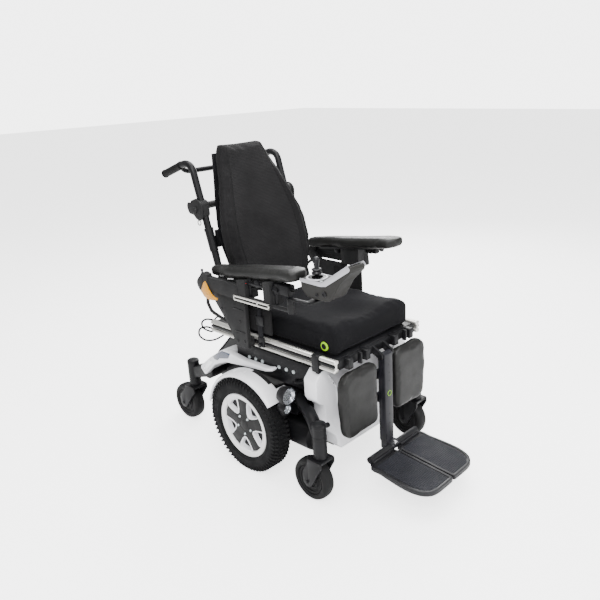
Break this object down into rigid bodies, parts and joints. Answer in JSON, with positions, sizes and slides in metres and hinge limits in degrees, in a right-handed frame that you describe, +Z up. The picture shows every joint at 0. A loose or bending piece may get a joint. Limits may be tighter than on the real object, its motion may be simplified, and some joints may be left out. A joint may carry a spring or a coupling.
{
  "type": "power wheelchair",
  "caption": "Mid-wheel-drive power wheelchair with tilting seat, reclining back, flip-up armrests, joystick remote and centre legrest.",
  "frame": {"origin": "on the floor under the middle of the whole chair's box", "axes": "+Z up, the chair's front faces -Y, the user's right hand is at -X"},
  "size_m": [0.61, 1.259, 1.128],
  "materials": {
    "tyre_rubber": "matt black moulded rubber, blocky shoulders",
    "rim_white": "gloss pearl white wheel cover with dark grey spider",
    "castor_grey": "dark grey moulded wheel with a solid tyre",
    "frame_black": "satin black powder coat",
    "shroud_white": "gloss pearl white moulded shell",
    "cover_grey": "fine-grained charcoal moulding",
    "battery_black": "moulded battery case",
    "rail_alloy": "bright anodised extrusion",
    "rod_steel": "ground steel",
    "lamp_black": "black lamp housing with clear lens",
    "seat_fabric": "smooth near-black stretch fabric over foam",
    "back_fabric": "charcoal knit with fine ribs over foam",
    "pad_grey": "skinned polyurethane foam, satin dark grey",
    "remote_grey": "satin dark grey remote case with silver trim",
    "button_silver": "satin silver key",
    "footplate_black": "moulded plate with a ribbed rubber mat",
    "cable_black": "round flexible cable jacket"
  },
  "bodies": {
    "chassis": {"chassis_frame": "frame_black", "battery_pack": "battery_black", "power_module": "rail_alloy", "seat_base": "frame_black", "shroud_right": "shroud_white", "shroud_left": "shroud_white", "front_shroud": "shroud_white", "rear_cover": "cover_grey"},
    "beam_right": {"beam_right": "frame_black", "motor_right": "frame_black", "fender_right": "shroud_white", "headlamp_right": "lamp_black"},
    "drive_right": {"tyre_right": "tyre_rubber", "rim_right": "rim_white"},
    "front_fork_right": {"front_fork_right": "frame_black"},
    "front_wheel_right": {"front_wheel_right": "castor_grey"},
    "rear_arm_right": {"rear_arm_right": "frame_black"},
    "rear_fork_right": {"rear_fork_right": "frame_black"},
    "rear_wheel_right": {"rear_wheel_right": "castor_grey"},
    "arm_right": {"arm_right": "cover_grey", "arm_pad_right": "pad_grey"},
    "footplate_right": {"footplate_right": "footplate_black"},
    "beam_left": {"beam_left": "frame_black", "motor_left": "frame_black", "fender_left": "shroud_white", "headlamp_left": "lamp_black"},
    "drive_left": {"tyre_left": "tyre_rubber", "rim_left": "rim_white"},
    "front_fork_left": {"front_fork_left": "frame_black"},
    "front_wheel_left": {"front_wheel_left": "castor_grey"},
    "rear_arm_left": {"rear_arm_left": "frame_black"},
    "rear_fork_left": {"rear_fork_left": "frame_black"},
    "rear_wheel_left": {"rear_wheel_left": "castor_grey"},
    "arm_left": {"arm_left": "cover_grey", "arm_pad_left": "pad_grey"},
    "footplate_left": {"footplate_left": "footplate_black"},
    "actuator_barrel": {"actuator_barrel": "frame_black"},
    "actuator_rod": {"actuator_rod": "rod_steel"},
    "seat": {"seat_frame": "frame_black", "seat_rail_right": "rail_alloy", "seat_rail_left": "rail_alloy", "seat_cushion": "seat_fabric", "side_bracket_right": "cover_grey", "side_bracket_left": "cover_grey", "seat_cable": "cable_black"},
    "back": {"cane_right": "frame_black", "cane_left": "frame_black", "push_bar": "frame_black", "back_crossbar": "cover_grey", "back_shell": "frame_black", "back_cushion": "back_fabric"},
    "remote": {"joystick_mount": "frame_black", "joystick_body": "remote_grey"},
    "gimbal": {"joystick_gimbal": "rod_steel"},
    "stick": {"joystick_stick": "footplate_black"},
    "power_button": {"power_button": "button_silver"},
    "horn_button": {"horn_button": "button_silver"},
    "legrest": {"legrest_column": "frame_black", "calf_pad_right": "pad_grey", "calf_pad_left": "pad_grey"}
  },
  "joints": [
    {"name": "beam_right_rock", "type": "hinge", "parent": "chassis", "child": "beam_right", "pos_m": [-0.168, -0.0565, 0.26], "axis": [1, 0, 0], "range_deg": [-6, 6]},
    {"name": "drive_right_spin", "type": "hinge", "parent": "beam_right", "child": "drive_right", "pos_m": [-0.267, 0.0585, 0.178], "axis": [1, 0, 0], "continuous": true},
    {"name": "front_right_swivel", "type": "hinge", "parent": "beam_right", "child": "front_fork_right", "pos_m": [-0.262, -0.2865, 0.2], "axis": [0, 0, 1], "continuous": true},
    {"name": "front_right_spin", "type": "hinge", "parent": "front_fork_right", "child": "front_wheel_right", "pos_m": [-0.262, -0.2505, 0.076], "axis": [1, 0, 0], "continuous": true},
    {"name": "rear_arm_right_swing", "type": "hinge", "parent": "chassis", "child": "rear_arm_right", "pos_m": [-0.122, 0.3835, 0.262], "axis": [1, 0, 0], "range_deg": [-8, 8], "stiffness_Nm_per_rad": 300, "springref_deg": -4.18},
    {"name": "rear_right_swivel", "type": "hinge", "parent": "rear_arm_right", "child": "rear_fork_right", "pos_m": [-0.18, 0.4985, 0.2], "axis": [0, 0, 1], "continuous": true},
    {"name": "rear_right_spin", "type": "hinge", "parent": "rear_fork_right", "child": "rear_wheel_right", "pos_m": [-0.18, 0.5535, 0.076], "axis": [1, 0, 0], "continuous": true},
    {"name": "beam_left_rock", "type": "hinge", "parent": "chassis", "child": "beam_left", "pos_m": [0.168, -0.0565, 0.26], "axis": [1, 0, 0], "range_deg": [-6, 6]},
    {"name": "drive_left_spin", "type": "hinge", "parent": "beam_left", "child": "drive_left", "pos_m": [0.267, 0.0585, 0.178], "axis": [1, 0, 0], "continuous": true},
    {"name": "front_left_swivel", "type": "hinge", "parent": "beam_left", "child": "front_fork_left", "pos_m": [0.262, -0.2865, 0.2], "axis": [0, 0, 1], "continuous": true},
    {"name": "front_left_spin", "type": "hinge", "parent": "front_fork_left", "child": "front_wheel_left", "pos_m": [0.262, -0.2505, 0.076], "axis": [1, 0, 0], "continuous": true},
    {"name": "rear_arm_left_swing", "type": "hinge", "parent": "chassis", "child": "rear_arm_left", "pos_m": [0.122, 0.3835, 0.262], "axis": [1, 0, 0], "range_deg": [-8, 8], "stiffness_Nm_per_rad": 300, "springref_deg": -4.18},
    {"name": "rear_left_swivel", "type": "hinge", "parent": "rear_arm_left", "child": "rear_fork_left", "pos_m": [0.18, 0.4985, 0.2], "axis": [0, 0, 1], "continuous": true},
    {"name": "rear_left_spin", "type": "hinge", "parent": "rear_fork_left", "child": "rear_wheel_left", "pos_m": [0.18, 0.5535, 0.076], "axis": [1, 0, 0], "continuous": true},
    {"name": "seat_tilt", "type": "hinge", "parent": "chassis", "child": "seat", "pos_m": [0, 0.2785, 0.425], "axis": [-1, 0, 0], "range_deg": [0, 30]},
    {"name": "actuator_swing", "type": "hinge", "parent": "chassis", "child": "actuator_barrel", "pos_m": [0, 0.1785, 0.366], "axis": [-1, 0, 0], "range_deg": [0, 34.3]},
    {"name": "actuator_stroke", "type": "slide", "parent": "actuator_barrel", "child": "actuator_rod", "axis": [0, -0.9374, 0.3482], "range_m": [0, 0.0546]},
    {"name": "back_recline", "type": "hinge", "parent": "seat", "child": "back", "pos_m": [0, 0.1865, 0.535], "axis": [-1, 0, 0], "range_deg": [-5, 15]},
    {"name": "arm_right_flip", "type": "hinge", "parent": "seat", "child": "arm_right", "pos_m": [-0.2625, 0.2135, 0.68], "axis": [-1, 0, 0], "range_deg": [0, 78]},
    {"name": "arm_left_flip", "type": "hinge", "parent": "seat", "child": "arm_left", "pos_m": [0.2625, 0.2135, 0.68], "axis": [-1, 0, 0], "range_deg": [0, 78]},
    {"name": "remote_swing", "type": "hinge", "parent": "arm_right", "child": "remote", "pos_m": [-0.27, -0.2035, 0.69], "axis": [0, 0, -1], "range_deg": [0, 75]},
    {"name": "stick_fore_aft", "type": "hinge", "parent": "remote", "child": "gimbal", "pos_m": [-0.225, -0.2785, 0.752], "axis": [1, 0, 0], "range_deg": [-18, 18], "stiffness_Nm_per_rad": 0.6},
    {"name": "stick_side", "type": "hinge", "parent": "gimbal", "child": "stick", "pos_m": [-0.225, -0.2785, 0.752], "axis": [0, 1, 0], "range_deg": [-18, 18], "stiffness_Nm_per_rad": 0.6},
    {"name": "power_button_press", "type": "slide", "parent": "remote", "child": "power_button", "axis": [0, 0, -1], "range_m": [0, 0.001], "stiffness_N_per_m": 800},
    {"name": "horn_button_press", "type": "slide", "parent": "remote", "child": "horn_button", "axis": [0, 0, -1], "range_m": [0, 0.001], "stiffness_N_per_m": 800},
    {"name": "legrest_elevate", "type": "hinge", "parent": "seat", "child": "legrest", "pos_m": [0, -0.3535, 0.456], "axis": [-1, 0, 0], "range_deg": [0, 80]},
    {"name": "footplate_right_flip", "type": "hinge", "parent": "legrest", "child": "footplate_right", "pos_m": [0, -0.3835, 0.124], "axis": [-1, 0, 0], "range_deg": [0, 90]},
    {"name": "footplate_left_flip", "type": "hinge", "parent": "legrest", "child": "footplate_left", "pos_m": [0, -0.3835, 0.124], "axis": [-1, 0, 0], "range_deg": [0, 90]}
  ],
  "couplings": [
    {"joint": "actuator_swing", "follows": "seat_tilt", "ratio": 1.14},
    {"joint": "actuator_stroke", "follows": "seat_tilt", "m_per_rad": 0.104}
  ]
}
